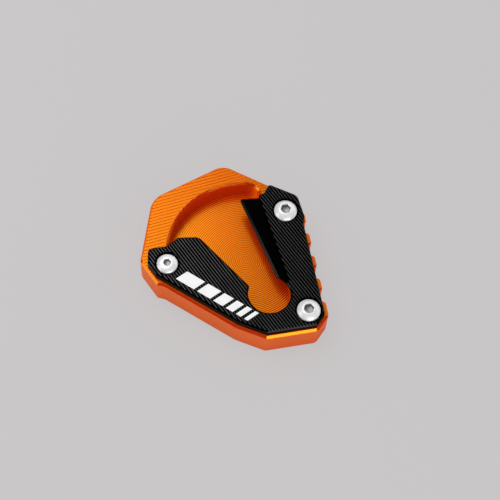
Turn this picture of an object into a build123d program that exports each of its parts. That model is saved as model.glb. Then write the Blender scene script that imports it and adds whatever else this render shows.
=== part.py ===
from build123d import *
import math
import os

# Sole outline in millimetres. X runs along the toe edge and Y roughly along the scalloped side.
# The plan is drawn from the toe edge's line and the lower end of the side.
SOLE_WIDTH = 79.2  # left tip to the lower end of the scalloped side
SOLE_LENGTH = 89.6  # toe edge to the apex, before it is rounded
SOLE_THICKNESS = 15.0
TIP_RISE = 46.3  # left tip above the toe edge
SHOULDER_IN = 10.3  # upper left corner, right of the tip
SHOULDER_UP = 31.2  # upper left corner, above the tip
APEX_INSET = 33.5  # apex, left of the side
SIDE_TOP_RISE = 65.6  # upper end of the side above the toe edge
SIDE_TOP_CUT = 7.5  # corner cut off there, along both edges
SIDE_FOOT_RISE = 6.4  # lower end of the side above the toe edge
SIDE_LEAN = 0.7  # upper end of the side, left of its lower end
TOE_CORNER_CUT = 6.2  # right end of the toe edge, left of the side
TOE_EDGE_LENGTH = 23.4
BEND_BACK = 12.6  # bend in the long edge, left of the toe edge
BEND_RISE = 7.6  # bend in the long edge, above the toe edge
HEEL_IN = 5.8  # lower left corner, right of the tip
HEEL_DROP = 12.4  # lower left corner, below the tip
NIB_LENGTH = 3.0  # small nib where the long edge starts
NIB_DROP = 1.2

# Corner radii of the sole
TIP_RADIUS = 4.0
SHOULDER_RADIUS = 11.0
APEX_RADIUS = 8.0
SIDE_TOP_RADIUS = 5.0
SIDE_FOOT_RADIUS = 3.0
TOE_RADIUS = 2.0
TOE_CUT_RADIUS = 3.5
BEND_RADIUS = 8.0
NIB_RADIUS = 4.0

# Scallops along the side
SCALLOP_PITCH = 11.6
SCALLOP_DEPTH = 2.6
SCALLOP_LAND = 3.2  # straight land on each crest
SCALLOP_CREST_RADIUS = 1.6
SCALLOP_START = 8.7  # middle of the first land below the upper end of the side

# Edge breaks of the sole
SOLE_CHAMFER = 1.0
POCKET_CHAMFER = 1.0

# The two button head screws along the side, M6
SCREW_DIAMETER = 6.0
SCREW_HEAD_DIAMETER = 10.5
SCREW_HEAD_HEIGHT = 3.3
SCREW_SOCKET = 4.0  # across flats
SCREW_SOCKET_DEPTH = 2.0
SIDE_SCREW_INSET = 9.0  # left of the side
FRONT_SCREW_RISE = 8.9  # front screw above the toe edge
SIDE_SCREW_SPACING = 50.5

# The smaller button head screw in the lug, M5
TIP_SCREW_DIAMETER = 5.0
TIP_SCREW_HEAD_DIAMETER = 9.5
TIP_SCREW_HEAD_HEIGHT = 2.75
TIP_SCREW_SOCKET = 3.0  # across flats
TIP_SCREW_SOCKET_DEPTH = 1.6
TIP_SCREW_IN = 11.8  # right of the tip
TIP_SCREW_DROP = 4.6  # below the tip

# Common to both kinds of screw
SCREW_GROUND_GAP = 0.9  # end of the shank above the ground face
SCREW_HEAD_BAND = 0.4  # straight band under the dome
SCREW_DOME_LEAN = 24.0  # the dome leans in from its band by this angle
SCREW_FLAT_MARGIN = 0.5  # flat outside the corners of the socket

# Fits of the screws, on the diameter
THREAD_CLEARANCE = 0.1
HOLE_CLEARANCE = 0.6
COUNTERBORE_CLEARANCE = 1.7
COUNTERBORE_DEPTH = 1.6
COUNTERBORE_CHAMFER = 0.3

# Foot pocket in the sole
RIM_WIDTH = 9.4  # least rim along the left and the upper left
POCKET_DEPTH = 9.0
POCKET_CENTRE_INSET = 31.2  # centre of the round back, left of the side
POCKET_CENTRE_RISE = 42.9  # centre of the round back, above the toe edge
POCKET_SIDE_GAP = 9.9  # right wall of the pocket to the ear screw
POCKET_CORNER_RADIUS = 6.0
POCKET_HEEL_ANGLE = 168.0  # lower end of the round back, from +X
POCKET_TOE_MARGIN = 1.5  # pocket past the toe of the slot
POCKET_LEAST_WALL = 2.4

# Ribs on the rim
RIM_RIB_PITCH = 1.5
RIM_RIB_ANGLE = 7.5
RIM_GROOVE_WIDTH = 0.6
RIM_GROOVE_DEPTH = 0.25

# Clamp plate
CLAMP_THICKNESS = 3.7
CLAMP_REVEAL = 1.4  # sole left showing round the clamp
CLAMP_SIDE_INSET = 2.2  # straight side of the clamp, left of the scallops' crests
CLAMP_CHAMFER = 0.7
CLAMP_CORNER_RADIUS = 0.8
LUG_REACH = 8.9  # left end of the lug beyond the tip screw
LUG_RISE = 8.8  # upper edge of the lug above the tip screw
LUG_LEAN = 1.5  # left end of the lug leans in by this much
LUG_LENGTH = 8.6
LUG_CORNER_RADIUS = 2.0
ARM_STEP_RUN = 5.6  # left arm steps up from the lug
ARM_STEP_RISE = 3.4
ARM_TOP_LENGTH = 9.4
ARM_TOP_FALL = 1.2
ARM_CORNER_RADIUS = 1.2
ARM_SLOT_RADIUS = 4.0  # corner of the left arm at the mouth of the slot
EAR_TOP_REACH = 6.9  # upper corner of the ear, right of the ear screw
EAR_TOP_RISE = 6.9  # upper corner of the ear, above the ear screw
EAR_SIDE_REACH = 8.1  # side of the ear, right of the ear screw
EAR_SIDE_DROP = 4.2  # lowest point of the ear's side, below the ear screw
EAR_FOOT_DROP = 8.0  # end of the ear on the straight side, below the ear screw
EAR_CORNER_RADIUS = 4.0
ARM_TIP_BACK = 4.9  # tip of the right arm, left of the ear screw
ARM_TIP_RISE = 14.8  # tip of the right arm, above the ear screw
ARM_TIP_SLANT_RUN = 3.0
ARM_TIP_SLANT_FALL = 3.9

# Slot for the leg
SLOT_TOE_RADIUS = 9.6
SLOT_TOE_INSET = 24.7  # centre of the toe, left of the side
SLOT_TOE_RISE = 19.9  # centre of the toe, above the toe edge
SLOT_LEFT_ANGLE = 149.4  # where the left wall meets the toe, from +X
SLOT_RIGHT_ANGLE = 58.0  # where the right wall meets the toe, from +X

# Ledge milled into the right arm
LEDGE_THICKNESS = 1.3
LEDGE_TOP_WIDTH = 9.0
LEDGE_TOP_LEAN = 0.8
LEDGE_BACK = 2.7  # top of the ledge's wall, left of the slant on the arm's tip
LEDGE_DROP = 1.0
LEDGE_ANGLE = 97.0  # direction of the ledge's wall, from +X
LEDGE_FOOT_RISE = 3.8  # lower end of the ledge above the centre of the toe
LEDGE_CUTTER_RADIUS = 1.0
LEDGE_CHAMFER = 0.9

# Ribs on the clamp
CLAMP_RIB_PITCH = 1.27
CLAMP_RIB_ANGLE = -64.5
CLAMP_GROOVE_WIDTH = 0.7
CLAMP_GROOVE_DEPTH = 0.45

# A corner may round off this share of its shorter edge
FILLET_SHARE = 0.45

# Places in the plan
TIP = Vector(-SOLE_WIDTH, TIP_RISE)
SHOULDER = TIP + Vector(SHOULDER_IN, SHOULDER_UP)
APEX = Vector(-APEX_INSET, SOLE_LENGTH)
SIDE_TOP = Vector(-SIDE_LEAN, SIDE_TOP_RISE)
SIDE_FOOT = Vector(0, SIDE_FOOT_RISE)
TOE_RIGHT = Vector(-TOE_CORNER_CUT, 0)
TOE_LEFT = TOE_RIGHT - Vector(TOE_EDGE_LENGTH, 0)
BEND = TOE_LEFT + Vector(-BEND_BACK, BEND_RISE)
NIB_OUTER = TIP + Vector(HEEL_IN, -HEEL_DROP)
NIB_INNER = NIB_OUTER + Vector(NIB_LENGTH, -NIB_DROP)
SIDE_UP = (SIDE_TOP - SIDE_FOOT).normalized()
SIDE_IN = Vector(-SIDE_UP.Y, SIDE_UP.X)
TIP_SCREW = TIP + Vector(TIP_SCREW_IN, -TIP_SCREW_DROP)
FRONT_SCREW = Vector(-SIDE_SCREW_INSET, FRONT_SCREW_RISE)
EAR_SCREW = FRONT_SCREW + SIDE_UP * SIDE_SCREW_SPACING
ARM_TIP = EAR_SCREW + Vector(-ARM_TIP_BACK, ARM_TIP_RISE)
ARM_SLANT = ARM_TIP - Vector(ARM_TIP_SLANT_RUN, ARM_TIP_SLANT_FALL)
LEDGE_TOP = ARM_SLANT - Vector(LEDGE_BACK, LEDGE_DROP)
LEDGE_CORNER = LEDGE_TOP + Vector(-LEDGE_TOP_WIDTH, LEDGE_TOP_LEAN)
SLOT_TOE = Vector(-SLOT_TOE_INSET, SLOT_TOE_RISE)

# Levels
POCKET_FLOOR = SOLE_THICKNESS - POCKET_DEPTH
LEDGE_LEVEL = SOLE_THICKNESS + LEDGE_THICKNESS
CLAMP_TOP = SOLE_THICKNESS + CLAMP_THICKNESS
SCREW_SEAT = CLAMP_TOP - COUNTERBORE_DEPTH
SHANK_LENGTH = SCREW_SEAT - SCREW_GROUND_GAP

# Cutting bodies reach this far past the metal
REACH = SOLE_LENGTH + SOLE_WIDTH

# Stands a body on its place
STANDING = (Align.CENTER, Align.CENTER, Align.MIN)


def direction(angle):
    """Unit vector at an angle from +X in the plan."""
    return Vector(math.cos(math.radians(angle)), math.sin(math.radians(angle)))


SLOT_LEFT = SLOT_TOE + direction(SLOT_LEFT_ANGLE) * SLOT_TOE_RADIUS
SLOT_RIGHT = SLOT_TOE + direction(SLOT_RIGHT_ANGLE) * SLOT_TOE_RADIUS


def crossing(start_a, end_a, start_b, end_b):
    """Point where the lines through two pairs of points cross."""
    run_a = end_a - start_a
    run_b = end_b - start_b
    gap = start_b - start_a
    across = run_a.X * run_b.Y - run_a.Y * run_b.X
    return start_a + run_a * ((gap.X * run_b.Y - gap.Y * run_b.X) / across)


def distance_to_line(point, start, end):
    """Distance of a point from the line through two others."""
    run = (end - start).normalized()
    gap = point - start
    return abs(run.X * gap.Y - run.Y * gap.X)


def fitted_radii(corners):
    """Radii of a closed run of corners, each no larger than its two edges allow."""
    fitted = []
    for i, (point, radius) in enumerate(corners):
        if radius:
            back = corners[i - 1][0] - point
            ahead = corners[(i + 1) % len(corners)][0] - point
            half_turn = math.radians(180 - back.get_angle(ahead)) / 2
            room = FILLET_SHARE * min(back.length, ahead.length)
            radius = min(radius, room / math.tan(half_turn))
        fitted.append(radius)
    return fitted


def rounded_run(corners):
    """Open run of straight edges through corners, each given with its radius."""
    points = [point for point, _ in corners]
    return FilletPolyline(*points, radius=fitted_radii(corners)[1:-1])


def rounded_face(corners):
    """Face inside a closed run of corners, each given with its radius."""
    points = [point for point, _ in corners]
    return make_face(FilletPolyline(*points, radius=fitted_radii(corners), close=True))


def scallop_edges(start, room):
    """Wave of tangent arcs and lands down the side, from the end of one land to the start of another."""
    count = max(1, int(room / SCALLOP_PITCH))
    half_gap = (SCALLOP_PITCH - SCALLOP_LAND) / 2
    turn = 2 * math.atan(SCALLOP_DEPTH / half_gap)
    crest_share = SCALLOP_CREST_RADIUS * math.sin(turn) / half_gap
    leaving = (SIDE_IN * SCALLOP_DEPTH - SIDE_UP * half_gap) * crest_share
    joining = (SIDE_IN * SCALLOP_DEPTH + SIDE_UP * half_gap) * crest_share
    edges = []
    for i in range(count):
        valley = start + SIDE_IN * SCALLOP_DEPTH - SIDE_UP * half_gap
        end = start - SIDE_UP * 2 * half_gap
        edges.append(TangentArc(start, start + leaving, tangent=-SIDE_UP))
        edges.append(ThreePointArc(start + leaving, valley, end + joining))
        edges.append(TangentArc(end, end + joining, tangent=SIDE_UP))
        start = end - SIDE_UP * SCALLOP_LAND
        if i < count - 1:
            edges.append(Line(end, start))
    return edges, end


def sole_outline():
    """Plan of the sole, with rounded corners and a scalloped side."""
    side_start = SIDE_TOP - SIDE_UP * SIDE_TOP_CUT
    edge_end = SIDE_TOP + (APEX - SIDE_TOP).normalized() * SIDE_TOP_CUT
    first_land = SIDE_TOP - SIDE_UP * (SCALLOP_START + SCALLOP_LAND / 2)
    room = first_land.Y - SIDE_FOOT_RISE - SIDE_FOOT_RADIUS + SCALLOP_LAND / 2
    wave, last_land = scallop_edges(first_land, room)
    rest = rounded_run([
        (last_land, 0),
        (SIDE_FOOT, SIDE_FOOT_RADIUS),
        (TOE_RIGHT, TOE_CUT_RADIUS),
        (TOE_LEFT, TOE_RADIUS),
        (BEND, BEND_RADIUS),
        (NIB_INNER, NIB_RADIUS),
        (NIB_OUTER, 0),
        (TIP, TIP_RADIUS),
        (SHOULDER, SHOULDER_RADIUS),
        (APEX, APEX_RADIUS),
        (edge_end, SIDE_TOP_RADIUS),
        (side_start, SIDE_TOP_RADIUS),
        (first_land, 0),
    ])
    return make_face(rest.edges() + [edge.edge() for edge in wave])


def plain_outline():
    """Plan of the sole with sharp corners, a straight side and no nib."""
    heel = crossing(TIP, NIB_OUTER, NIB_INNER, BEND)
    corners = [SIDE_FOOT, TOE_RIGHT, TOE_LEFT, BEND, heel, TIP, SHOULDER, APEX, SIDE_TOP]
    return make_face(Polyline(*corners, close=True))


def pocket_outline():
    """Plan of the foot pocket: a round back that narrows to the toe of the slot."""
    centre = Vector(-POCKET_CENTRE_INSET, POCKET_CENTRE_RISE)
    to_left = distance_to_line(centre, TIP, SHOULDER)
    to_upper_left = distance_to_line(centre, SHOULDER, APEX)
    radius = min(to_left, to_upper_left) - RIM_WIDTH
    corner_x = EAR_SCREW.X - POCKET_SIDE_GAP - POCKET_CORNER_RADIUS
    corner_rise = math.sqrt((radius - POCKET_CORNER_RADIUS) ** 2 - (corner_x - centre.X) ** 2)
    corner = Vector(corner_x, centre.Y + corner_rise)
    corner_angle = math.degrees(math.atan2(corner_rise, corner_x - centre.X))
    back = CenterArc(centre, radius, corner_angle, POCKET_HEEL_ANGLE - corner_angle)
    upper_corner = CenterArc(corner, POCKET_CORNER_RADIUS, 0, corner_angle)
    toe = CenterArc(SLOT_TOE, SLOT_TOE_RADIUS + POCKET_TOE_MARGIN, 0, 360)
    hull = make_hull([back.edge(), upper_corner.edge(), toe.edge()])
    return hull & offset(plain_outline(), -POCKET_LEAST_WALL, kind=Kind.INTERSECTION)


def clamp_opening():
    """Plan of all that lies above and to the left of the clamp, with its open slot."""
    lug_top = TIP_SCREW + Vector(LUG_LEAN - LUG_REACH, LUG_RISE)
    lug_side = TIP_SCREW - Vector(LUG_REACH, 0)
    below_lug = lug_side + (lug_side - lug_top) * (REACH / LUG_RISE)
    lug_end = lug_top + Vector(LUG_LENGTH, 0)
    arm_left = lug_end + Vector(ARM_STEP_RUN, ARM_STEP_RISE)
    arm_right = arm_left + Vector(ARM_TOP_LENGTH, -ARM_TOP_FALL)
    beyond_tip = ARM_TIP * 2 - ARM_SLANT
    opening = rounded_face([
        (below_lug, 0),
        (lug_top, LUG_CORNER_RADIUS),
        (lug_end, LUG_CORNER_RADIUS),
        (arm_left, ARM_CORNER_RADIUS),
        (arm_right, ARM_SLOT_RADIUS),
        (SLOT_LEFT, 0),
        (SLOT_TOE, 0),
        (SLOT_RIGHT, 0),
        (LEDGE_CORNER, ARM_CORNER_RADIUS),
        (LEDGE_TOP, 0),
        (ARM_SLANT, 0),
        (beyond_tip, 0),
        (Vector(beyond_tip.X, REACH), 0),
        (Vector(below_lug.X, REACH), 0),
    ])
    return opening + Pos(SLOT_TOE) * Circle(SLOT_TOE_RADIUS)


def ear_outline():
    """Plan of the ear that carries the clamp past its straight side at the ear screw."""
    upper_corner = EAR_SCREW + Vector(EAR_TOP_REACH, EAR_TOP_RISE)
    beyond_tip = ARM_TIP * 2 - upper_corner
    ear_foot = EAR_SCREW - SIDE_UP * EAR_FOOT_DROP
    return rounded_face([
        (beyond_tip, 0),
        (upper_corner, EAR_CORNER_RADIUS),
        (EAR_SCREW + Vector(EAR_SIDE_REACH, -EAR_SIDE_DROP), CLAMP_CORNER_RADIUS),
        (ear_foot + SIDE_IN * (CLAMP_SIDE_INSET - SIDE_SCREW_INSET), 0),
        (ear_foot, 0),
    ])


def clamp_outline():
    """Plan of the clamp: the sole drawn in by the reveal, with its ear, less the opening."""
    left_half = Rectangle(2 * REACH, 2 * REACH, align=(Align.MAX, Align.CENTER))
    side_start = SIDE_FOOT + SIDE_IN * (CLAMP_SIDE_INSET - CLAMP_REVEAL)
    lean = math.degrees(math.atan2(-SIDE_UP.X, SIDE_UP.Y))
    straight_side = Pos(side_start) * Rot(0, 0, lean) * left_half
    shrink = CLAMP_REVEAL + CLAMP_CORNER_RADIUS
    inner = offset(plain_outline() & straight_side, -shrink, kind=Kind.INTERSECTION)
    blank = offset(inner, CLAMP_CORNER_RADIUS, kind=Kind.ARC)
    plate = blank + ear_outline() - clamp_opening()
    return fillet(plate.vertices().sort_by_distance(ARM_TIP)[0], ARM_CORNER_RADIUS)


def stripes(pitch, width, angle, centre):
    """Parallel strips across the whole plan, for cutting grooves."""
    count = 2 * int(REACH / pitch / 2)
    across = Pos(centre) * Rot(0, 0, angle)
    strip = Rectangle(2 * REACH, width)
    return [across * Pos(0, (i - count / 2) * pitch) * strip for i in range(count)]


def sole():
    """Base plate: the sole that stands on the ground and holds the foot of the stand."""
    outline = sole_outline()
    plate = extrude(outline, SOLE_THICKNESS)
    plate = chamfer(plate.faces().sort_by(Axis.Z)[-1].edges(), SOLE_CHAMFER)
    plate -= Pos(0, 0, POCKET_FLOOR) * extrude(pocket_outline(), POCKET_DEPTH)
    rim_edge = plate.faces().sort_by(Axis.Z)[-1].inner_wires()[0].edges()
    plate = chamfer(rim_edge, POCKET_CHAMFER)
    tapped = Cylinder((SCREW_DIAMETER + THREAD_CLEARANCE) / 2, REACH)
    tip_tapped = Cylinder((TIP_SCREW_DIAMETER + THREAD_CLEARANCE) / 2, REACH)
    plate -= [Pos(FRONT_SCREW) * tapped, Pos(EAR_SCREW) * tapped, Pos(TIP_SCREW) * tip_tapped]
    rim = outline & clamp_opening()
    strips = stripes(RIM_RIB_PITCH, RIM_GROOVE_WIDTH, RIM_RIB_ANGLE, TIP)
    grooves = [strip & rim for strip in strips]
    cuts = [extrude(groove, -RIM_GROOVE_DEPTH) for groove in grooves if groove]
    return plate - [Pos(0, 0, SOLE_THICKNESS) * cut for cut in cuts]


def ledge_cut():
    """Milled step that leaves the ledge along the right of the slot."""
    wall = direction(LEDGE_ANGLE)
    foot_y = SLOT_TOE.Y + LEDGE_FOOT_RISE
    foot = LEDGE_TOP - wall * ((LEDGE_TOP.Y - foot_y) / wall.Y)
    plan = rounded_face([
        (LEDGE_TOP + wall * SLOT_TOE_RADIUS, 0),
        (foot, LEDGE_CUTTER_RADIUS),
        (Vector(SLOT_TOE.X, foot_y), 0),
        (LEDGE_CORNER - Vector(SLOT_TOE_RADIUS, 0), 0),
    ])
    return Pos(0, 0, LEDGE_LEVEL) * extrude(plan, CLAMP_THICKNESS)


def screw_hole(diameter, head_diameter):
    """Counterbored hole through the clamp for one size of screw, at the origin of the plan."""
    bore = (head_diameter + COUNTERBORE_CLEARANCE) / 2
    break_foot = CLAMP_TOP - COUNTERBORE_CHAMFER
    edge_break = Cone(bore, bore + COUNTERBORE_CHAMFER, COUNTERBORE_CHAMFER, align=STANDING)
    hole = Cylinder((diameter + HOLE_CLEARANCE) / 2, REACH)
    hole += Pos(0, 0, SCREW_SEAT) * Cylinder(bore, CLAMP_THICKNESS, align=STANDING)
    return hole + Pos(0, 0, break_foot) * edge_break


def clamp():
    """Clamp plate: holds the foot of the stand down in its pocket."""
    plate = Pos(0, 0, SOLE_THICKNESS) * extrude(clamp_outline(), CLAMP_THICKNESS)
    plate = chamfer(plate.faces().sort_by(Axis.Z)[-1].edges(), CLAMP_CHAMFER)
    plate -= ledge_cut()
    ledge_middle = (LEDGE_CORNER + SLOT_RIGHT) / 2 + Vector(0, 0, LEDGE_LEVEL)
    plate = chamfer(plate.edges().sort_by_distance(ledge_middle)[0], LEDGE_CHAMFER)
    hole = screw_hole(SCREW_DIAMETER, SCREW_HEAD_DIAMETER)
    tip_hole = screw_hole(TIP_SCREW_DIAMETER, TIP_SCREW_HEAD_DIAMETER)
    plate -= [Pos(FRONT_SCREW) * hole, Pos(EAR_SCREW) * hole, Pos(TIP_SCREW) * tip_hole]
    strips = stripes(CLAMP_RIB_PITCH, CLAMP_GROOVE_WIDTH, CLAMP_RIB_ANGLE, SLOT_TOE)
    groove_floor = Pos(0, 0, CLAMP_TOP - CLAMP_GROOVE_DEPTH)
    return plate - [groove_floor * extrude(strip, CLAMP_THICKNESS) for strip in strips]


def screw(diameter, head_diameter, head_height, socket_width, socket_depth):
    """Button head screw with a hex socket, standing in its counterbore on the Z axis."""
    head_radius = head_diameter / 2
    shank_radius = diameter / 2
    corner_radius = socket_width / math.sqrt(3)
    band_top = Vector(head_radius, SCREW_HEAD_BAND)
    flat_edge = Vector(corner_radius + SCREW_FLAT_MARGIN, head_height)
    dome = TangentArc(band_top, flat_edge, tangent=direction(90 + SCREW_DOME_LEAN))
    rest = Polyline(
        flat_edge,
        Vector(0, head_height),
        Vector(0, -SHANK_LENGTH),
        Vector(shank_radius, -SHANK_LENGTH),
        Vector(shank_radius, 0),
        Vector(head_radius, 0),
        band_top,
    )
    section = make_face(dome.edges() + rest.edges())
    body = revolve(Rot(90, 0, 0) * section, Axis.Z)
    socket = extrude(RegularPolygon(corner_radius, 6), head_height)
    return Pos(0, 0, SCREW_SEAT) * (body - Pos(0, 0, head_height - socket_depth) * socket)


base_plate = sole()
centre = base_plate.bounding_box().center()
placing = Pos(-centre.X, -centre.Y, 0)
side_screw = screw(
    SCREW_DIAMETER, SCREW_HEAD_DIAMETER, SCREW_HEAD_HEIGHT,
    SCREW_SOCKET, SCREW_SOCKET_DEPTH)
tip_screw = screw(
    TIP_SCREW_DIAMETER, TIP_SCREW_HEAD_DIAMETER, TIP_SCREW_HEAD_HEIGHT,
    TIP_SCREW_SOCKET, TIP_SCREW_SOCKET_DEPTH)
nodes = {
    "base_plate": placing * base_plate,
    "clamp_plate": placing * clamp(),
    "clamp_screws": Compound([placing * Pos(place) * side_screw for place in [FRONT_SCREW, EAR_SCREW]]),
    "tip_screw": placing * Pos(TIP_SCREW) * tip_screw,
}

os.makedirs("parts", exist_ok=True)
for name, shape in nodes.items():
    export_step(shape, f"parts/{name}.step")
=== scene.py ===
from collections import namedtuple
import math

import bmesh
import bpy
from bpy.props import FloatProperty, FloatVectorProperty, IntProperty, PointerProperty
from mathutils import Matrix, Vector


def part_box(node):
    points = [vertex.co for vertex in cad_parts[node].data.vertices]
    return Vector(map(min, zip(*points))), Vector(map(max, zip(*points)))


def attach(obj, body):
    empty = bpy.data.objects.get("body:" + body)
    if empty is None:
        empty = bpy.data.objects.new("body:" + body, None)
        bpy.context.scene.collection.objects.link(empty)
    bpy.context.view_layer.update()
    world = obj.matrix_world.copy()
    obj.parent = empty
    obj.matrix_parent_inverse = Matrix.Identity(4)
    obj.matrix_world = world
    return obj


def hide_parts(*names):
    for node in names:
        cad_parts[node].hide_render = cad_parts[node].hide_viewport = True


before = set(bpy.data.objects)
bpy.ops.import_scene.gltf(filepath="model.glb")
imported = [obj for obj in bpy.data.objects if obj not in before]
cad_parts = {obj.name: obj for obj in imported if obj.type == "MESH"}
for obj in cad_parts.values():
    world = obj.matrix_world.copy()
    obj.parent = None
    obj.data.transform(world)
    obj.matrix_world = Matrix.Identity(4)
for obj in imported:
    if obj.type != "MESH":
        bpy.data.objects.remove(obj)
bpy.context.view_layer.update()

bl_info = {
    "name": "Kickstand Foot Enlarger",
    "version": (1, 0, 0),
    "blender": (4, 5, 0),
    "location": "View3D > Sidebar > Enlarger",
    "description": "Finishes, screws, white mark and studio of a kickstand foot enlarger",
    "category": "Object",
}

# Sizes are in metres. Millimetres are easier to read at this scale.
MM = 0.001

# Corners and levels read from the parts in model.glb
SOLE_LOW, SOLE_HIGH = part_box("base_plate")
SOLE_TOP = SOLE_HIGH.z
CLAMP_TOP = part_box("clamp_plate")[1].z
SCREW_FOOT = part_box("clamp_screws")[0].z

# Standard sizes of the two kinds of button head screw
ScrewSize = namedtuple(
    "ScrewSize", "head_diameter head_height shank_diameter thread_pitch socket socket_depth")
M6 = ScrewSize(10.5 * MM, 3.3 * MM, 6.0 * MM, 1.0 * MM, 4.0 * MM, 2.0 * MM)
M5 = ScrewSize(9.5 * MM, 2.75 * MM, 5.0 * MM, 0.8 * MM, 3.0 * MM, 1.6 * MM)

# Screws: how finely they are turned, the turn at which an edge is sharp, and how near counts as touching
TURN_STEPS = 96
SOCKET_SIDES = 6
DOME_STEPS = 12
SHARP_TURN = math.radians(28)
NEAR = 0.01 * MM
MERGE_DISTANCE = 0.0005 * MM

# How much of the painted shade in the socket is left at the middle of its floor
SOCKET_SHADE_MIDDLE = 0.3

# Rise of the surface's normal over which a wall turns into a chamfer, and a chamfer into a level top
WALL_RISE = (0.15, 0.30)
TOP_RISE = (0.90, 0.97)

# Fine texture of a finish: size of its grain and of its clouds, range of the clouds that changes the tone,
# swing of the roughness, and height and strength of the bump
Texture = namedtuple("Texture", "grain cloud tones swing relief strength")
ORANGE_TEXTURE = Texture(0.22 * MM, 14 * MM, (0.35, 0.65), 0.10, 0.010 * MM, 0.2)
BLACK_TEXTURE = Texture(0.18 * MM, 9 * MM, (0.3, 0.7), 0.12, 0.010 * MM, 0.4)
STEEL_TEXTURE = Texture(0.30 * MM, 4 * MM, (0.0, 1.0), 0.10, 0.003 * MM, 0.3)
PAINT_TEXTURE = Texture(0.25 * MM, 3 * MM, (0.3, 0.6), 0.15, 0.006 * MM, 0.4)

# Noise of every finish: detail of its grain and of its clouds, and the roughness of both
NOISE_DETAIL = {"Grain": 2.0, "Cloud": 3.0}
NOISE_ROUGHNESS = 0.55

# Milling lines in the orange finish: their height beside the grain's, how far they swing the roughness,
# how much grain is left on the pocket's floor, and the heights over which that floor ends
LINE_RELIEF = 0.6
LINE_SWING = 0.05
POCKET_GRAIN = 0.15
POCKET_END = (0.05 * MM, 0.1 * MM)

# Shine of the orange finish: the metal under the dye, the film on it, and the film's share on chamfers
METAL_IOR = 3.0
FILM_ROUGHNESS = 0.3
CHAMFER_FILM = 0.2

# Black finish: height on a rib's wave where its painted highlight starts, depth over which a ridge ends in
# its groove, and darkest and brightest cloud
RIB_HIGHLIGHT_START = 0.65
RIDGE_END = 0.05 * MM
BLACK_CLOUDS = (0.82, 1.15)

# Lathe rings on the screws: their spacing, and their height beside the grain's
RING_SPACING = 0.12 * MM
RING_RELIEF = 0.5

# White paint: its least roughness, and its tone where it is thin
PAINT_ROUGHNESS = 0.42
THIN_PAINT = 0.93

# Studio: width of the camera's sensor in millimetres, the floor's sides, its unevenness and its roughness,
# and the turn towards the bright side over which the mirrored surroundings brighten
SENSOR_WIDTH = 36.0
FLOOR_SIDES = 96
FLOOR_CLOUDS = {"Scale": 3.0, "Detail": 2.0}
FLOOR_DEEP_TONE = 0.985
FLOOR_ROUGHNESS = 0.9
BRIGHT_TURN = (0.45, 0.9)

# Softboxes: their sizes are in metres, and not all of them are mirrored
Softbox = namedtuple("Softbox", "name place aim width height brightness mirrored")
SOFTBOXES = (
    Softbox("overhead softbox", (-0.26, 0.28, 0.62), (-0.26, 0.28, 0.0), 0.62, 0.75, 1.85, True),
    Softbox("front softbox", (0.11, -0.70, 0.18), (0.0, 0.0, 0.0), 0.60, 0.30, 2.9, True),
    Softbox("left softbox", (-0.72, -0.04, 0.20), (0.0, 0.0, 0.0), 0.40, 0.30, 1.4, True),
    Softbox("right softbox", (0.68, -0.28, 0.17), (0.0, 0.0, 0.0), 0.34, 0.26, 2.6, False),
)


class OrangeFinish(bpy.types.PropertyGroup):
    """Orange anodised finish of the sole."""

    dye: FloatVectorProperty(
        name="Dye", description="Colour of the dye in the oxide, where little is mirrored",
        default=(0.90, 0.024, 0.002), subtype="COLOR", size=3, min=0, max=1)
    deep_dye: FloatVectorProperty(
        name="Deep dye", description="Colour of the dye in the darker clouds of the finish",
        default=(0.82, 0.020, 0.0015), subtype="COLOR", size=3, min=0, max=1)
    mirror: FloatVectorProperty(
        name="Mirror", description="Tint of what the metal under the dye mirrors",
        default=(1.0, 0.39, 0.017), subtype="COLOR", size=3, min=0, max=1)
    roughness: FloatProperty(
        name="Roughness", description="Mean roughness of the satin surface",
        default=0.34, min=0, max=1, subtype="FACTOR")
    edge_roughness: FloatProperty(
        name="Edge roughness", description="Roughness of the crisp chamfers",
        default=0.17, min=0, max=1, subtype="FACTOR")
    pocket_roughness: FloatProperty(
        name="Pocket roughness", description="Roughness of the milled floor of the pocket",
        default=0.28, min=0, max=1, subtype="FACTOR")
    film: FloatProperty(
        name="Film", description="Weight of the clear oxide film on the walls",
        default=0.52, min=0, max=1, subtype="FACTOR")
    cutter_spacing: FloatProperty(
        name="Cutter lines", description="Spacing of the milling lines on the walls",
        default=0.45 * MM, unit="LENGTH", precision=5)
    swirl_spacing: FloatProperty(
        name="Swirl lines", description="Spacing of the milling arcs on the pocket's floor",
        default=0.9 * MM, unit="LENGTH", precision=5)
    swirl_centre: FloatVectorProperty(
        name="Swirl centre", description="Centre of the milling arcs and of the pocket's round back",
        default=(SOLE_HIGH.x - 31.2 * MM, SOLE_LOW.y + 42.9 * MM), size=2, unit="LENGTH", precision=5)
    pocket_floor: FloatProperty(
        name="Pocket floor", description="Height of the pocket's floor",
        default=SOLE_TOP - 9.0 * MM, unit="LENGTH", precision=5)


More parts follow.
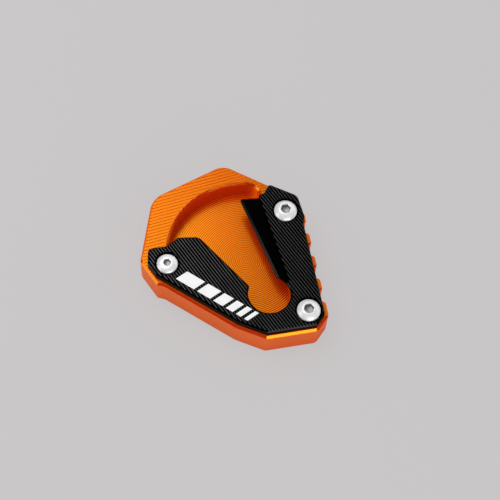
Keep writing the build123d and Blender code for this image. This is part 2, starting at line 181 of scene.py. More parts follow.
class BlackFinish(bpy.types.PropertyGroup):
    """Black anodised finish of the clamp plate, with painted rib highlights and painted groove shade."""

    # The ridge colour is a painted highlight: the rib tops are drawn far lighter than the rest of the
    # black finish.
    ridge: FloatVectorProperty(
        name="Ridges", description="Colour of the satin tops of the ribs",
        default=(0.092, 0.092, 0.094), subtype="COLOR", size=3, min=0, max=1)
    # The groove colour is painted shade: the floors between the ribs and the ledge are drawn near black.
    groove: FloatVectorProperty(
        name="Grooves", description="Colour of the matt floors between the ribs and of the ledge",
        default=(0.0014, 0.0014, 0.0015), subtype="COLOR", size=3, min=0, max=1)
    edge: FloatVectorProperty(
        name="Edges", description="Colour of the chamfered edges",
        default=(0.025, 0.025, 0.026), subtype="COLOR", size=3, min=0, max=1)
    ridge_roughness: FloatProperty(
        name="Ridge roughness", description="Roughness of the tops of the ribs",
        default=0.30, min=0, max=1, subtype="FACTOR")
    groove_roughness: FloatProperty(
        name="Groove roughness", description="Roughness of the floors between the ribs",
        default=0.6, min=0, max=1, subtype="FACTOR")
    edge_roughness: FloatProperty(
        name="Edge roughness", description="Roughness of the chamfered edges",
        default=0.22, min=0, max=1, subtype="FACTOR")
    rib_pitch: FloatProperty(
        name="Rib pitch", description="Distance from rib to rib",
        default=1.27 * MM, unit="LENGTH", precision=5)
    rib_heading: FloatProperty(
        name="Rib heading", description="Direction of the ribs in the plan",
        default=math.radians(-64.5), subtype="ANGLE")
    groove_place: FloatVectorProperty(
        name="Groove place", description="Point in the plan on the middle of one groove",
        default=(14.76 * MM, -24.44 * MM), size=2, unit="LENGTH", precision=5)
    ridge_depth: FloatProperty(
        name="Ridge depth", description="Depth below the top of the plate that still counts as ridge",
        default=0.1 * MM, unit="LENGTH", precision=5)


class SteelFinish(bpy.types.PropertyGroup):
    """Satin stainless steel of the screws."""

    tone: FloatVectorProperty(
        name="Tone", description="Colour of the steel in its duller clouds",
        default=(0.95, 0.95, 0.96), subtype="COLOR", size=3, min=0, max=1)
    bright_tone: FloatVectorProperty(
        name="Bright tone", description="Colour of the steel in its brighter clouds",
        default=(0.99, 0.99, 0.98), subtype="COLOR", size=3, min=0, max=1)
    # The socket colour is painted shade, drawn darker than the steel in the recess of the socket.
    socket_shade_tone: FloatVectorProperty(
        name="Socket tone", description="Colour of the walls of the socket",
        default=(0.20, 0.20, 0.21), subtype="COLOR", size=3, min=0, max=1)
    metal: FloatProperty(
        name="Metal", description="Share of the surface that mirrors as metal, and isn't matt",
        default=0.30, min=0, max=1, subtype="FACTOR")
    roughness: FloatProperty(
        name="Roughness", description="Least roughness of the satin surface",
        default=0.26, min=0, max=1, subtype="FACTOR")


class ScrewShape(bpy.types.PropertyGroup):
    """Details that both kinds of button head screw share."""

    band: FloatProperty(
        name="Band", description="Straight band under the dome",
        default=1.2 * MM, unit="LENGTH", precision=5)
    edge_break: FloatProperty(
        name="Edge break", description="Chamfer on the underside of the head",
        default=0.15 * MM, unit="LENGTH", precision=5)
    dome_lean: FloatProperty(
        name="Dome lean", description="Angle by which the dome leans in from its band",
        default=math.radians(34.0), subtype="ANGLE")
    flat_margin: FloatProperty(
        name="Flat margin", description="Flat outside the corners of the socket",
        default=0.5 * MM, unit="LENGTH", precision=5)
    socket_break: FloatProperty(
        name="Socket break", description="Countersink at the mouth of the socket",
        default=0.12 * MM, unit="LENGTH", precision=5)
    socket_point: FloatProperty(
        name="Socket point", description="Depth of the drill point below the flats",
        default=0.5 * MM, unit="LENGTH", precision=5)
    thread_depth: FloatProperty(
        name="Thread depth", description="Depth of the thread as a share of its pitch",
        default=0.6, min=0, max=1, subtype="FACTOR")
    tip_break: FloatProperty(
        name="Tip break", description="Chamfer at the end of the shank",
        default=0.7 * MM, unit="LENGTH", precision=5)


class MarkShape(bpy.types.PropertyGroup):
    """White bars on the clamp's left arm."""

    start: FloatVectorProperty(
        name="Start", description="Lower left corner of the first bar in the plan",
        default=(-25.3 * MM, -10.8 * MM), size=2, unit="LENGTH", precision=5)
    heading: FloatProperty(
        name="Heading", description="Direction of the row of bars in the plan",
        default=math.radians(-42.1), subtype="ANGLE")
    slant: FloatProperty(
        name="Slant", description="Direction of the ends of the bars in the plan",
        default=math.radians(26.0), subtype="ANGLE")
    bar_height: FloatProperty(
        name="Bar height", description="Length of a bar along its slanted ends",
        default=6.2 * MM, unit="LENGTH", precision=5)
    first_width: FloatProperty(
        name="First width", description="Width of the widest bar",
        default=9.5 * MM, unit="LENGTH", precision=5)
    narrowing: FloatProperty(
        name="Narrowing", description="Width of each bar as a share of the one before it",
        default=0.72, min=0, max=1, subtype="FACTOR")
    gap: FloatProperty(
        name="Gap", description="Gap between two bars",
        default=1.7 * MM, unit="LENGTH", precision=5)
    count: IntProperty(
        name="Bars", description="Number of bars in the row", default=6, min=1)
    depth: FloatProperty(
        name="Depth", description="How deep the white fills the grooves",
        default=0.45 * MM, unit="LENGTH", precision=5)
    proud: FloatProperty(
        name="Proud", description="How far the white stands above the ribs",
        default=0.03 * MM, unit="LENGTH", precision=5)
    edge_break: FloatProperty(
        name="Edge break", description="Rounding of the edges of the bars",
        default=0.015 * MM, unit="LENGTH", precision=6)
    paint: FloatVectorProperty(
        name="Paint", description="Colour of the white fill",
        default=(0.92, 0.92, 0.92), subtype="COLOR", size=3, min=0, max=1)


class StudioShape(bpy.types.PropertyGroup):
    """Floor, lamps and camera."""

    floor_colour: FloatVectorProperty(
        name="Floor", description="Colour of the floor and of the surroundings",
        default=(0.592, 0.573, 0.579), subtype="COLOR", size=3, min=0, max=1)
    floor_radius: FloatProperty(
        name="Floor radius", description="Radius of the round floor",
        default=4.0, unit="LENGTH")
    floor_gap: FloatProperty(
        name="Floor gap", description="Gap that keeps the floor apart from the underside of the sole",
        default=0.02 * MM, unit="LENGTH", precision=6)
    floor_glow: FloatProperty(
        name="Floor glow", description="Share of the floor's seen colour that no shadow reaches",
        default=0.82, min=0, max=1, subtype="FACTOR")
    surround_level: FloatProperty(
        name="Surround level", description="Brightness of the surroundings as a light",
        default=0.55, min=0)
    mirrored_front: FloatProperty(
        name="Mirrored front", description="Brightness of the near left side as the metal mirrors it",
        default=0.03, min=0)
    mirrored_back: FloatProperty(
        name="Mirrored back", description="Brightness of the far right side as the metal mirrors it",
        default=0.85, min=0)
    bright_side: FloatProperty(
        name="Bright side", description="Direction of the brighter side in the plan",
        default=math.radians(50.0), subtype="ANGLE")
    azimuth: FloatProperty(
        name="Azimuth", description="Direction that the camera looks from, turned from the toe",
        default=math.radians(-13.89), subtype="ANGLE")
    elevation: FloatProperty(
        name="Elevation", description="Height of the camera above the horizon",
        default=math.radians(64.85), subtype="ANGLE")
    roll: FloatProperty(
        name="Roll", description="Turn of the camera about its line of sight",
        default=math.radians(4.0), subtype="ANGLE")
    distance: FloatProperty(
        name="Distance", description="Camera to the point that it looks at",
        default=0.6, unit="LENGTH")
    target: FloatVectorProperty(
        name="Target", description="Point that the camera looks at",
        default=(4.259 * MM, -5.341 * MM, 13.5 * MM), size=3, unit="LENGTH", precision=5)
    lens: FloatProperty(
        name="Lens", description="Focal length in millimetres", default=95.0, min=1)
    shift: FloatVectorProperty(
        name="Shift", description="Shift of the frame as a share of its width",
        default=(0.0232, 0.0258), size=2)


def put(tree, kind, inputs=None, **attributes):
    """Adds a node to a tree, with its attributes and its unlinked inputs set."""
    made = tree.nodes.new(kind)
    for name, value in attributes.items():
        setattr(made, name, value)
    for name, value in (inputs or {}).items():
        made.inputs[name].default_value = value
    return made


def feed(tree, source, socket):
    """Links a socket to an input, or sets the input to a plain value."""
    if isinstance(source, bpy.types.NodeSocket):
        tree.links.new(source, socket)
    else:
        socket.default_value = source


def reckon(tree, operation, *values):
    """Math node on sockets or numbers, giving its result."""
    made = put(tree, "ShaderNodeMath", operation=operation)
    for value, socket in zip(values, made.inputs):
        feed(tree, value, socket)
    return made.outputs[0]


def spread(tree, value, low, high, to_low=0.0, to_high=1.0):
    """Map Range node that clamps, giving its result."""
    made = put(tree, "ShaderNodeMapRange", clamp=True)
    for name, setting in (("Value", value), ("From Min", low), ("From Max", high),
                          ("To Min", to_low), ("To Max", to_high)):
        feed(tree, setting, made.inputs[name])
    return made.outputs["Result"]


def blend_colours(tree, share, first, second):
    """Mix node between two colours, giving its result."""
    made = put(tree, "ShaderNodeMix", data_type="RGBA")
    feed(tree, share, made.inputs["Factor"])
    feed(tree, first, made.inputs[6])
    feed(tree, second, made.inputs[7])
    return made.outputs[2]


def opaque(colour):
    """Colour with full alpha, as a node socket takes it."""
    return (*colour, 1.0)


def new_group(name, numbers, results):
    """Empty shader node group with number inputs, given with their defaults, and number results."""
    group = bpy.data.node_groups.new(name, "ShaderNodeTree")
    for label, default in numbers:
        socket = group.interface.new_socket(label, in_out="INPUT", socket_type="NodeSocketFloat")
        socket.default_value = default
    for label in results:
        group.interface.new_socket(label, in_out="OUTPUT", socket_type="NodeSocketFloat")
    return group, put(group, "NodeGroupInput"), put(group, "NodeGroupOutput")


def grain_group():
    """Fine grain and slow clouds of tone, on object coordinates."""
    group, given, result = new_group(
        "Grain and clouds", [("Grain size", 0.2 * MM), ("Cloud size", 20 * MM)], ["Grain", "Cloud"])
    place = put(group, "ShaderNodeTexCoord").outputs["Object"]
    for label, detail in NOISE_DETAIL.items():
        noise = put(group, "ShaderNodeTexNoise", {"Detail": detail, "Roughness": NOISE_ROUGHNESS})
        group.links.new(place, noise.inputs["Vector"])
        feed(group, reckon(group, "DIVIDE", 1.0, given.outputs[label + " size"]), noise.inputs["Scale"])
        group.links.new(noise.outputs["Fac"], result.inputs[label])
    return group


def facing_group():
    """Masks of the level tops, the chamfers and the upright walls, from the surface's own normal."""
    group, _, result = new_group("Facing masks", [], ["Top", "Slope", "Wall"])
    normal = put(group, "ShaderNodeTexCoord").outputs["Normal"]
    rise = put(group, "ShaderNodeSeparateXYZ")
    group.links.new(normal, rise.inputs[0])
    up = rise.outputs["Z"]
    top = spread(group, up, *TOP_RISE)
    wall = spread(group, reckon(group, "ABSOLUTE", up), *WALL_RISE, 1.0, 0.0)
    above_wall = spread(group, up, *WALL_RISE)
    group.links.new(top, result.inputs["Top"])
    group.links.new(wall, result.inputs["Wall"])
    feed(group, reckon(group, "SUBTRACT", above_wall, top), result.inputs["Slope"])
    return group


def line_group():
    """Height of even cutter lines along a length measured in metres."""
    group, given, result = new_group(
        "Cutter lines", [("Length", 0.0), ("Spacing", 0.5 * MM)], ["Height"])
    turns = reckon(group, "DIVIDE", given.outputs["Length"], given.outputs["Spacing"])
    wave = reckon(group, "SINE", reckon(group, "MULTIPLY", turns, math.tau))
    feed(group, reckon(group, "MULTIPLY_ADD", wave, 0.5, 0.5), result.inputs["Height"])
    return group


def shared(name, make):
    """Node group that is made on its first use."""
    return bpy.data.node_groups.get(name) or make()


def use_group(tree, name, make, inputs=None):
    """Places a shared node group in a tree."""
    made = put(tree, "ShaderNodeGroup", node_tree=shared(name, make))
    for label, value in (inputs or {}).items():
        feed(tree, value, made.inputs[label])
    return made.outputs


def use_texture(tree, texture):
    """Places a finish's grain in a tree, and gives it with the clouds spread over their range of tones."""
    made = use_group(tree, "Grain and clouds", grain_group,
                     {"Grain size": texture.grain, "Cloud size": texture.cloud})
    return made["Grain"], spread(tree, made["Cloud"], *texture.tones)


def new_material(name):
    """Material with a bare Principled surface, its tree and that surface."""
    material = bpy.data.materials.new(name)
    material.use_nodes = True
    tree = material.node_tree
    return material, tree, tree.nodes["Principled BSDF"]


def coordinates(tree):
    """Object coordinates of the surface, as a vector and as three numbers."""
    place = put(tree, "ShaderNodeTexCoord").outputs["Object"]
    parts = put(tree, "ShaderNodeSeparateXYZ")
    tree.links.new(place, parts.inputs[0])
    return place, parts.outputs


def bump(tree, surface, height, texture):
    """Turns a height into the surface's normal."""
    made = put(tree, "ShaderNodeBump", {"Strength": texture.strength, "Distance": texture.relief})
    tree.links.new(height, made.inputs["Height"])
    tree.links.new(made.outputs["Normal"], surface.inputs["Normal"])


def swing_roughness(tree, mean, grain, texture):
    """Roughness that swings about its mean with the grain."""
    least = reckon(tree, "SUBTRACT", mean, texture.swing / 2)
    return reckon(tree, "MULTIPLY_ADD", grain, texture.swing, least)


def pocket_mask(tree, axes, facing, finish):
    """Mask of the pocket's floor."""
    end_low, end_high = [finish.pocket_floor + height for height in POCKET_END]
    low = spread(tree, axes["Z"], end_low, end_high, 1.0, 0.0)
    return reckon(tree, "MULTIPLY", low, facing["Top"])


def milling_lines(tree, place, axes, facing, pocket, finish):
    """Height of the cutter's lines on the walls and of its arcs on the pocket's floor."""
    wall_lines = use_group(tree, "Cutter lines", line_group,
                           {"Length": axes["Z"], "Spacing": finish.cutter_spacing})
    flat = put(tree, "ShaderNodeVectorMath", {1: (1.0, 1.0, 0.0)}, operation="MULTIPLY")
    tree.links.new(place, flat.inputs[0])
    from_centre = put(tree, "ShaderNodeVectorMath", {1: (*finish.swirl_centre, 0.0)}, operation="DISTANCE")
    tree.links.new(flat.outputs[0], from_centre.inputs[0])
    swirl_lines = use_group(tree, "Cutter lines", line_group,
                            {"Length": from_centre.outputs["Value"], "Spacing": finish.swirl_spacing})
    walls = reckon(tree, "MULTIPLY", wall_lines["Height"], facing["Wall"])
    swirls = reckon(tree, "MULTIPLY", swirl_lines["Height"], pocket)
    return reckon(tree, "ADD", walls, swirls)


def orange_anodised(finish):
    """Dyed satin aluminium: a red dye over metal that mirrors orange, with milling lines."""
    material, tree, surface = new_material("orange anodised")
    place, axes = coordinates(tree)
    grain, tones = use_texture(tree, ORANGE_TEXTURE)
    facing = use_group(tree, "Facing masks", facing_group)
    pocket = pocket_mask(tree, axes, facing, finish)
    lines = milling_lines(tree, place, axes, facing, pocket, finish)
    blasted = reckon(tree, "MULTIPLY", grain, spread(tree, pocket, 0.0, 1.0, 1.0, POCKET_GRAIN))
    dye = blend_colours(tree, tones, opaque(finish.deep_dye), opaque(finish.dye))
    tree.links.new(dye, surface.inputs["Base Color"])
    rough = spread(tree, facing["Slope"], 0.0, 1.0, finish.roughness, finish.edge_roughness)
    rough = spread(tree, pocket, 0.0, 1.0, rough, finish.pocket_roughness)
    rough = swing_roughness(tree, rough, blasted, ORANGE_TEXTURE)
    rough = reckon(tree, "MULTIPLY_ADD", lines, LINE_SWING, rough)
    tree.links.new(rough, surface.inputs["Roughness"])
    surface.inputs["IOR"].default_value = METAL_IOR
    surface.inputs["Specular IOR Level"].default_value = 1.0
    surface.inputs["Specular Tint"].default_value = opaque(finish.mirror)
    covered = reckon(tree, "MULTIPLY_ADD", facing["Slope"], CHAMFER_FILM, facing["Wall"])
    tree.links.new(reckon(tree, "MULTIPLY", covered, finish.film), surface.inputs["Coat Weight"])
    surface.inputs["Coat Roughness"].default_value = FILM_ROUGHNESS
    height = reckon(tree, "MULTIPLY_ADD", lines, LINE_RELIEF, blasted)
    bump(tree, surface, height, ORANGE_TEXTURE)
    return material


def painted_rib_highlights(tree, place, finish):
    """Painted highlight on the ribs, strongest at the middle of each one and falling off to its edges."""
    across = Vector((-math.sin(finish.rib_heading), math.cos(finish.rib_heading), 0.0))
    quarter = finish.rib_pitch / 4
    start = across.dot(Vector((*finish.groove_place, 0.0))) + quarter
    measured = put(tree, "ShaderNodeVectorMath", {1: across}, operation="DOT_PRODUCT")
    tree.links.new(place, measured.inputs[0])
    length = reckon(tree, "SUBTRACT", measured.outputs["Value"], start)
    ribs = use_group(tree, "Cutter lines", line_group, {"Length": length, "Spacing": finish.rib_pitch})
    return spread(tree, ribs["Height"], RIB_HIGHLIGHT_START, 1.0)


def black_anodised(finish):
    """Black satin aluminium: rib tops with painted highlights, matt grooves and ledge with painted shade.
    """
    material, tree, surface = new_material("black anodised")
    place, axes = coordinates(tree)
    grain, tones = use_texture(tree, BLACK_TEXTURE)
    facing = use_group(tree, "Facing masks", facing_group)
    ridge_foot = CLAMP_TOP - finish.ridge_depth
    raised = spread(tree, axes["Z"], ridge_foot - RIDGE_END, ridge_foot)
    level = reckon(tree, "MULTIPLY", raised, facing["Top"])
    # Painted highlight on the level rib tops
    ridge = reckon(tree, "MULTIPLY", level, painted_rib_highlights(tree, place, finish))
    # Painted light: rib tops get the painted highlight, the grooves and the ledge painted shade, and the
    # chamfers a tone of their own.
    tone = blend_colours(tree, ridge, opaque(finish.groove), opaque(finish.ridge))
    tone = blend_colours(tree, facing["Slope"], tone, opaque(finish.edge))
    clouded = put(tree, "ShaderNodeHueSaturation")
    feed(tree, spread(tree, tones, 0.0, 1.0, *BLACK_CLOUDS), clouded.inputs["Value"])
    tree.links.new(tone, clouded.inputs["Color"])
    tree.links.new(clouded.outputs["Color"], surface.inputs["Base Color"])
    surface.inputs["Metallic"].default_value = 1.0
    rough = spread(tree, ridge, 0.0, 1.0, finish.groove_roughness, finish.ridge_roughness)
    rough = spread(tree, facing["Slope"], 0.0, 1.0, rough, finish.edge_roughness)
    tree.links.new(swing_roughness(tree, rough, grain, BLACK_TEXTURE), surface.inputs["Roughness"])
    bump(tree, surface, grain, BLACK_TEXTURE)
    return material


def stainless(finish):
    """Satin stainless steel, with faint rings from the lathe and painted shade in the socket."""
    made = bpy.data.materials.get("stainless steel")
    if made:
        return made
    material, tree, surface = new_material("stainless steel")
    _, axes = coordinates(tree)
    grain, tones = use_texture(tree, STEEL_TEXTURE)
    rings = use_group(tree, "Cutter lines", line_group, {"Length": axes["Z"], "Spacing": RING_SPACING})
    tone = blend_colours(tree, tones, opaque(finish.tone), opaque(finish.bright_tone))
    # Painted shade in the socket, read from the vertex layer
    inside = put(tree, "ShaderNodeAttribute", attribute_name="socket").outputs["Fac"]
    tone = blend_colours(tree, inside, tone, opaque(finish.socket_shade_tone))
    tree.links.new(tone, surface.inputs["Base Color"])
    surface.inputs["Metallic"].default_value = finish.metal
    rough = reckon(tree, "MULTIPLY_ADD", tones, STEEL_TEXTURE.swing, finish.roughness)
    tree.links.new(rough, surface.inputs["Roughness"])
    height = reckon(tree, "MULTIPLY_ADD", rings["Height"], RING_RELIEF, grain)
    bump(tree, surface, height, STEEL_TEXTURE)
    return material


def white_fill(shape):
    """White paint, a little uneven where it lies over the ribs."""
    material, tree, surface = new_material("white fill")
    grain, tones = use_texture(tree, PAINT_TEXTURE)
    thin = [channel * THIN_PAINT for channel in shape.paint]
    tone = blend_colours(tree, tones, opaque(thin), opaque(shape.paint))
    tree.links.new(tone, surface.inputs["Base Color"])
    rough = reckon(tree, "MULTIPLY_ADD", grain, PAINT_TEXTURE.swing, PAINT_ROUGHNESS)
    tree.links.new(rough, surface.inputs["Roughness"])
    bump(tree, surface, grain, PAINT_TEXTURE)
    return material


def dress(item, material):
    """Gives an object one material."""
    item.data.materials.clear()
    item.data.materials.append(material)


def add_object(name, mesh_work, material):
    """Turns a bmesh into an object with one material."""
    mesh = bpy.data.meshes.new(name)
    mesh_work.to_mesh(mesh)
    mesh_work.free()
    made = bpy.data.objects.new(name, mesh)
    bpy.context.scene.collection.objects.link(made)
    dress(made, material)
    return made


def add_piece(name, mesh_work, material):
    """Turns a bmesh into a piece of the enlarger that rides on its one body."""
    piece = add_object(name, mesh_work, material)
    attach(piece, "root")
    return piece


def screw_axes(node, reach):
    """Centres of a node's screws in the plan, read from the ends of their shanks."""
    rims = []
    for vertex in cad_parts[node].data.vertices:
        if vertex.co.z > SCREW_FOOT + NEAR:
            continue
        for rim in rims:
            if (rim[0] - vertex.co).length < reach:
                rim.append(vertex.co)
                break
        else:
            rims.append([vertex.co])
    centres = []
    for rim in rims:
        low = Vector(map(min, *rim))
        high = Vector(map(max, *rim))
        centres.append((low + high) / 2)
    return centres


def thread_profile(shape, size, low, high):
    """Radius and height of each crest and root of the thread, from its foot up."""
    crest = size.shank_diameter / 2
    root = crest - shape.thread_depth * size.thread_pitch
    half = size.thread_pitch / 2
    count = int((high - low) / half)
    return [(crest if i % 2 == 0 else root, low + i * half) for i in range(count)]


def dome_profile(start, end, lean):
    """Radius and height along an arc that leaves its start by a lean from upright."""
    inward = start.x - end.x
    rise = end.y - start.y
    half_sweep = math.atan2(inward, rise) - lean
    radius = math.hypot(inward, rise) / (2 * math.sin(half_sweep))
    points = []
    for i in range(DOME_STEPS + 1):
        heading = lean + 2 * half_sweep * i / DOME_STEPS
        across = radius * (math.cos(heading) - math.cos(lean))
        points.append((start.x + across, start.y + radius * (math.sin(heading) - math.sin(lean))))
    return points


def screw_profile(shape, size, top):
    """Radius and height of the turned screw, from the end of its shank to the bottom of its socket."""
    seat = top - size.head_height
    shank = size.shank_diameter / 2
    head = size.head_diameter / 2
    socket = size.socket / 2
    mouth = socket / math.cos(math.pi / SOCKET_SIDES)
    floor = top - size.socket_depth
    profile = [(0.0, SCREW_FOOT), (shank - shape.tip_break, SCREW_FOOT)]
    profile += thread_profile(shape, size, SCREW_FOOT + shape.tip_break, seat - size.thread_pitch)
    profile += [(shank, seat), (head - shape.edge_break, seat), (head, seat + shape.edge_break)]
    flat_edge = Vector((mouth + shape.flat_margin, top))
    profile += dome_profile(Vector((head, seat + shape.band)), flat_edge, shape.dome_lean)
    profile += [(mouth + shape.socket_break, top), (socket, top - shape.socket_break)]
    profile += [(socket, floor), (0.0, floor - shape.socket_point)]
    return profile


def cut_hexagon(mesh_work, size, top):
    """Moves the rings of the socket's wall out from their round to a hexagon."""
    socket = size.socket / 2
    side = math.tau / SOCKET_SIDES
    floor = top - size.socket_depth
    for vertex in mesh_work.verts:
        on_round = abs(vertex.co.xy.length - socket) < NEAR
        if on_round and vertex.co.z > floor - NEAR:
            turn = math.atan2(vertex.co.y, vertex.co.x) % side - side / 2
            vertex.co.xy /= math.cos(turn)


def mark_socket_shade(mesh_work, shape, size, top):
    """Marks the inside of the socket in a vertex layer, less at its middle, for the finish's painted
    shade.
    """
    layer = mesh_work.verts.layers.float.new("socket")
    mouth = size.socket / 2 / math.cos(math.pi / SOCKET_SIDES) + NEAR
    bottom = top - size.socket_depth - shape.socket_point - NEAR
    for vertex in mesh_work.verts:
        out = vertex.co.xy.length / mouth
        inside = out < 1.0 and vertex.co.z > bottom
        vertex[layer] = SOCKET_SHADE_MIDDLE + (1.0 - SOCKET_SHADE_MIDDLE) * out if inside else 0.0


def turned_screw(shape, size, top):
    """One screw on the Z axis: its profile is spun, then its socket is made a hexagon."""
    mesh_work = bmesh.new()
    profile = screw_profile(shape, size, top)
    points = [mesh_work.verts.new((radius, 0.0, height)) for radius, height in profile]
    edges = [mesh_work.edges.new(pair) for pair in zip(points, points[1:])]
    bmesh.ops.spin(mesh_work, geom=points + edges, axis=(0, 0, 1), cent=(0, 0, 0),
                   angle=math.tau, steps=TURN_STEPS, use_merge=True)
    bmesh.ops.remove_doubles(mesh_work, verts=mesh_work.verts, dist=MERGE_DISTANCE)
    cut_hexagon(mesh_work, size, top)
    mark_socket_shade(mesh_work, shape, size, top)
    bmesh.ops.recalc_face_normals(mesh_work, faces=mesh_work.faces)
    for face in mesh_work.faces:
        face.smooth = True
    for edge in mesh_work.edges:
        edge.smooth = edge.calc_face_angle(0.0) < SHARP_TURN
    return mesh_work


def copy_about(mesh_work, places):
    """Copies a mesh to each place, in one mesh."""
    pattern = mesh_work.verts[:] + mesh_work.edges[:] + mesh_work.faces[:]
    for place in places:
        copied = bmesh.ops.duplicate(mesh_work, geom=pattern)["geom"]
        vertices = [item for item in copied if isinstance(item, bmesh.types.BMVert)]
        bmesh.ops.translate(mesh_work, verts=vertices, vec=place.to_2d().to_3d())
    bmesh.ops.delete(mesh_work, geom=pattern, context="VERTS")


def in_plan(angle):
    """Unit vector in the plan."""
    return Vector((math.cos(angle), math.sin(angle), 0.0))


def mark_bars(shape):
    """Row of slanted bars that narrow along it."""
    along = in_plan(shape.heading)
    up_bar = in_plan(shape.slant)
    thickness = shape.depth + shape.proud
    level = CLAMP_TOP - shape.depth + thickness / 2
    corner = Vector((*shape.start, level))
    width = shape.first_width
    mesh_work = bmesh.new()
    for _ in range(shape.count):
        middle = corner + along * (width / 2) + up_bar * (shape.bar_height / 2)
        columns = (along * width, up_bar * shape.bar_height, Vector((0, 0, thickness)), middle)
        placing = Matrix([[*column, 0.0] for column in columns]).transposed()
        placing[3][3] = 1.0
        bmesh.ops.create_cube(mesh_work, size=1.0, matrix=placing)
        corner += along * (width + shape.gap)
        width *= shape.narrowing
    bmesh.ops.recalc_face_normals(mesh_work, faces=mesh_work.faces)
    bmesh.ops.bevel(mesh_work, geom=mesh_work.edges[:], offset=shape.edge_break, affect="EDGES",
                    segments=2, profile=0.5, material=-1)
    return mesh_work


def camera_axes(shape):
    """Right, up and back of the camera."""
    level = math.cos(shape.elevation)
    back = Vector((math.sin(shape.azimuth) * level, -math.cos(shape.azimuth) * level,
                   math.sin(shape.elevation)))
    flat_right = in_plan(shape.azimuth)
    flat_up = back.cross(flat_right)
    right = flat_right * math.cos(shape.roll) + flat_up * math.sin(shape.roll)
    return right, back.cross(right), back


def place_camera(shape):
    """Camera at the photograph's angle."""
    data = bpy.data.cameras.new("camera")
    data.sensor_width = SENSOR_WIDTH
    data.lens = shape.lens
    data.shift_x, data.shift_y = shape.shift
    camera = bpy.data.objects.new("camera", data)
    right, up, back = camera_axes(shape)
    spot = Vector(shape.target) + back * shape.distance
    columns = [[*right, 0.0], [*up, 0.0], [*back, 0.0], [*spot, 1.0]]
    camera.matrix_world = Matrix(columns).transposed()
    bpy.context.scene.collection.objects.link(camera)
    bpy.context.scene.camera = camera


def place_softbox(softbox):
    """Rectangular lamp that faces a point."""
    data = bpy.data.lights.new(softbox.name, "AREA")
    data.shape = "RECTANGLE"
    data.size = softbox.width
    data.size_y = softbox.height
    data.energy = softbox.brightness * softbox.width * softbox.height * math.pi
    lamp = bpy.data.objects.new(softbox.name, data)
    lamp.location = softbox.place
    lamp.rotation_mode = "QUATERNION"
    lamp.rotation_quaternion = (Vector(softbox.place) - Vector(softbox.aim)).to_track_quat("Z", "Y")
    lamp.visible_camera = False
    lamp.visible_glossy = softbox.mirrored
    bpy.context.scene.collection.objects.link(lamp)


def studio_floor(shape):
    """Pale round floor with a faint unevenness, on which the shadow is seen softened."""
    material, tree, surface = new_material("studio floor")
    seen = put(tree, "ShaderNodeLightPath").outputs["Is Camera Ray"]
    noise = put(tree, "ShaderNodeTexNoise", FLOOR_CLOUDS)
    tree.links.new(coordinates(tree)[0], noise.inputs["Vector"])
    deep = [channel * FLOOR_DEEP_TONE for channel in shape.floor_colour]
    tone = blend_colours(tree, noise.outputs["Fac"], opaque(deep), opaque(shape.floor_colour))
    glow = reckon(tree, "MULTIPLY", seen, shape.floor_glow)
    black = opaque((0.0, 0.0, 0.0))
    tree.links.new(blend_colours(tree, glow, tone, black), surface.inputs["Base Color"])
    tree.links.new(blend_colours(tree, glow, black, tone), surface.inputs["Emission Color"])
    surface.inputs["Emission Strength"].default_value = 1.0
    surface.inputs["Roughness"].default_value = FLOOR_ROUGHNESS
    surface.inputs["Specular IOR Level"].default_value = 0.0
    mesh_work = bmesh.new()
    bmesh.ops.create_circle(mesh_work, cap_ends=True, segments=FLOOR_SIDES, radius=shape.floor_radius)
    bmesh.ops.translate(mesh_work, verts=mesh_work.verts, vec=(0.0, 0.0, -shape.floor_gap))
    floor = add_object("studio_floor", mesh_work, material)


def studio_world(shape):
    """Pale surroundings, seen at the floor's colour and mirrored brighter on one side."""
    world = bpy.data.worlds.new("studio")
    bpy.context.scene.world = world
    world.use_nodes = True
    tree = world.node_tree
    background = tree.nodes["Background"]
    rays = put(tree, "ShaderNodeLightPath")
    lighting = opaque([shape.surround_level] * 3)
    turn = put(tree, "ShaderNodeVectorMath", {1: in_plan(shape.bright_side)}, operation="DOT_PRODUCT")
    tree.links.new(put(tree, "ShaderNodeTexCoord").outputs["Generated"], turn.inputs[0])
    mirrored = spread(tree, turn.outputs["Value"], *BRIGHT_TURN, shape.mirrored_front, shape.mirrored_back)
    colour = blend_colours(tree, rays.outputs["Is Glossy Ray"], lighting, mirrored)
    colour = blend_colours(tree, rays.outputs["Is Camera Ray"], colour, opaque(shape.floor_colour))
    tree.links.new(colour, background.inputs["Color"])


class ENLARGER_OT_sole(bpy.types.Operator):
    """Give the sole its orange anodised finish"""

    bl_idname = "enlarger.sole"
    bl_label = "Finish the sole"

    def execute(self, context):
        dress(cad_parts["base_plate"], orange_anodised(context.scene.enlarger_orange))
        return {"FINISHED"}


class ENLARGER_OT_clamp(bpy.types.Operator):
    """Give the clamp plate its black anodised finish"""

    bl_idname = "enlarger.clamp"
    bl_label = "Finish the clamp plate"

    def execute(self, context):
        dress(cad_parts["clamp_plate"], black_anodised(context.scene.enlarger_black))
        return {"FINISHED"}


def turn_screws(scene, name, node, size):
    """Replaces a node's screws with turned ones."""
    mesh_work = turned_screw(scene.enlarger_screw, size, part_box(node)[1].z)
    copy_about(mesh_work, screw_axes(node, size.head_diameter))
    piece = add_piece(name, mesh_work, stainless(scene.enlarger_steel))
    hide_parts(node)


class ENLARGER_OT_side_screws(bpy.types.Operator):
    """Turn the two button head screws along the side"""

    bl_idname = "enlarger.side_screws"
    bl_label = "Turn the side screws"

    def execute(self, context):
        turn_screws(context.scene, "side_button_screws", "clamp_screws", M6)
        return {"FINISHED"}


class ENLARGER_OT_tip_screw(bpy.types.Operator):
    """Turn the smaller button head screw in the lug"""

    bl_idname = "enlarger.tip_screw"
    bl_label = "Turn the tip screw"

    def execute(self, context):
        turn_screws(context.scene, "tip_button_screw", "tip_screw", M5)
        return {"FINISHED"}


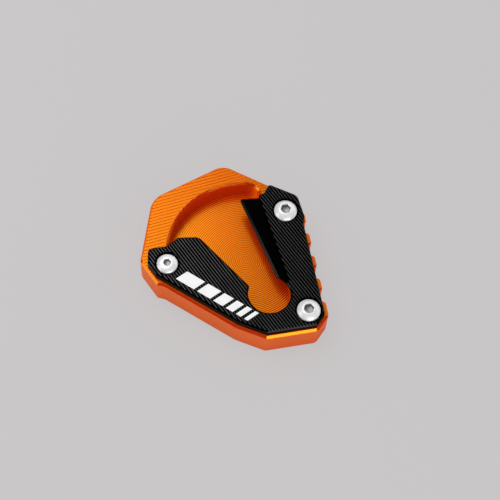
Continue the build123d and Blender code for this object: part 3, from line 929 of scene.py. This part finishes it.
class ENLARGER_OT_mark(bpy.types.Operator):
    """Fill the white bars on the clamp plate"""

    bl_idname = "enlarger.mark"
    bl_label = "Fill the white bars"

    def execute(self, context):
        shape = context.scene.enlarger_mark
        add_piece("white_bars", mark_bars(shape), white_fill(shape))
        return {"FINISHED"}


class ENLARGER_OT_stage(bpy.types.Operator):
    """Set up the floor, the lamps and the camera"""

    bl_idname = "enlarger.stage"
    bl_label = "Set up the stage"

    def execute(self, context):
        shape = context.scene.enlarger_studio
        context.scene.view_settings.view_transform = "Standard"
        studio_floor(shape)
        studio_world(shape)
        for softbox in SOFTBOXES:
            place_softbox(softbox)
        place_camera(shape)
        return {"FINISHED"}


class ENLARGER_PT_panel(bpy.types.Panel):
    """Steps that dress the foot enlarger, in their order"""

    bl_idname = "ENLARGER_PT_panel"
    bl_label = "Foot Enlarger"
    bl_space_type = "VIEW_3D"
    bl_region_type = "UI"
    bl_category = "Enlarger"

    def draw(self, context):
        for operator in OPERATORS:
            self.layout.operator(operator.bl_idname)


SETTINGS = {
    "enlarger_orange": OrangeFinish,
    "enlarger_black": BlackFinish,
    "enlarger_steel": SteelFinish,
    "enlarger_screw": ScrewShape,
    "enlarger_mark": MarkShape,
    "enlarger_studio": StudioShape,
}
OPERATORS = (ENLARGER_OT_sole, ENLARGER_OT_clamp, ENLARGER_OT_side_screws, ENLARGER_OT_tip_screw,
             ENLARGER_OT_mark, ENLARGER_OT_stage)
CLASSES = (*SETTINGS.values(), *OPERATORS, ENLARGER_PT_panel)


def register():
    for item in CLASSES:
        bpy.utils.register_class(item)
    for name, group in SETTINGS.items():
        setattr(bpy.types.Scene, name, PointerProperty(type=group))


def unregister():
    for name in SETTINGS:
        delattr(bpy.types.Scene, name)
    for item in reversed(CLASSES):
        bpy.utils.unregister_class(item)


def main():
    register()
    bpy.ops.enlarger.sole()
    bpy.ops.enlarger.clamp()
    bpy.ops.enlarger.side_screws()
    bpy.ops.enlarger.tip_screw()
    bpy.ops.enlarger.mark()
    bpy.ops.enlarger.stage()


if __name__ == "__main__":
    main()
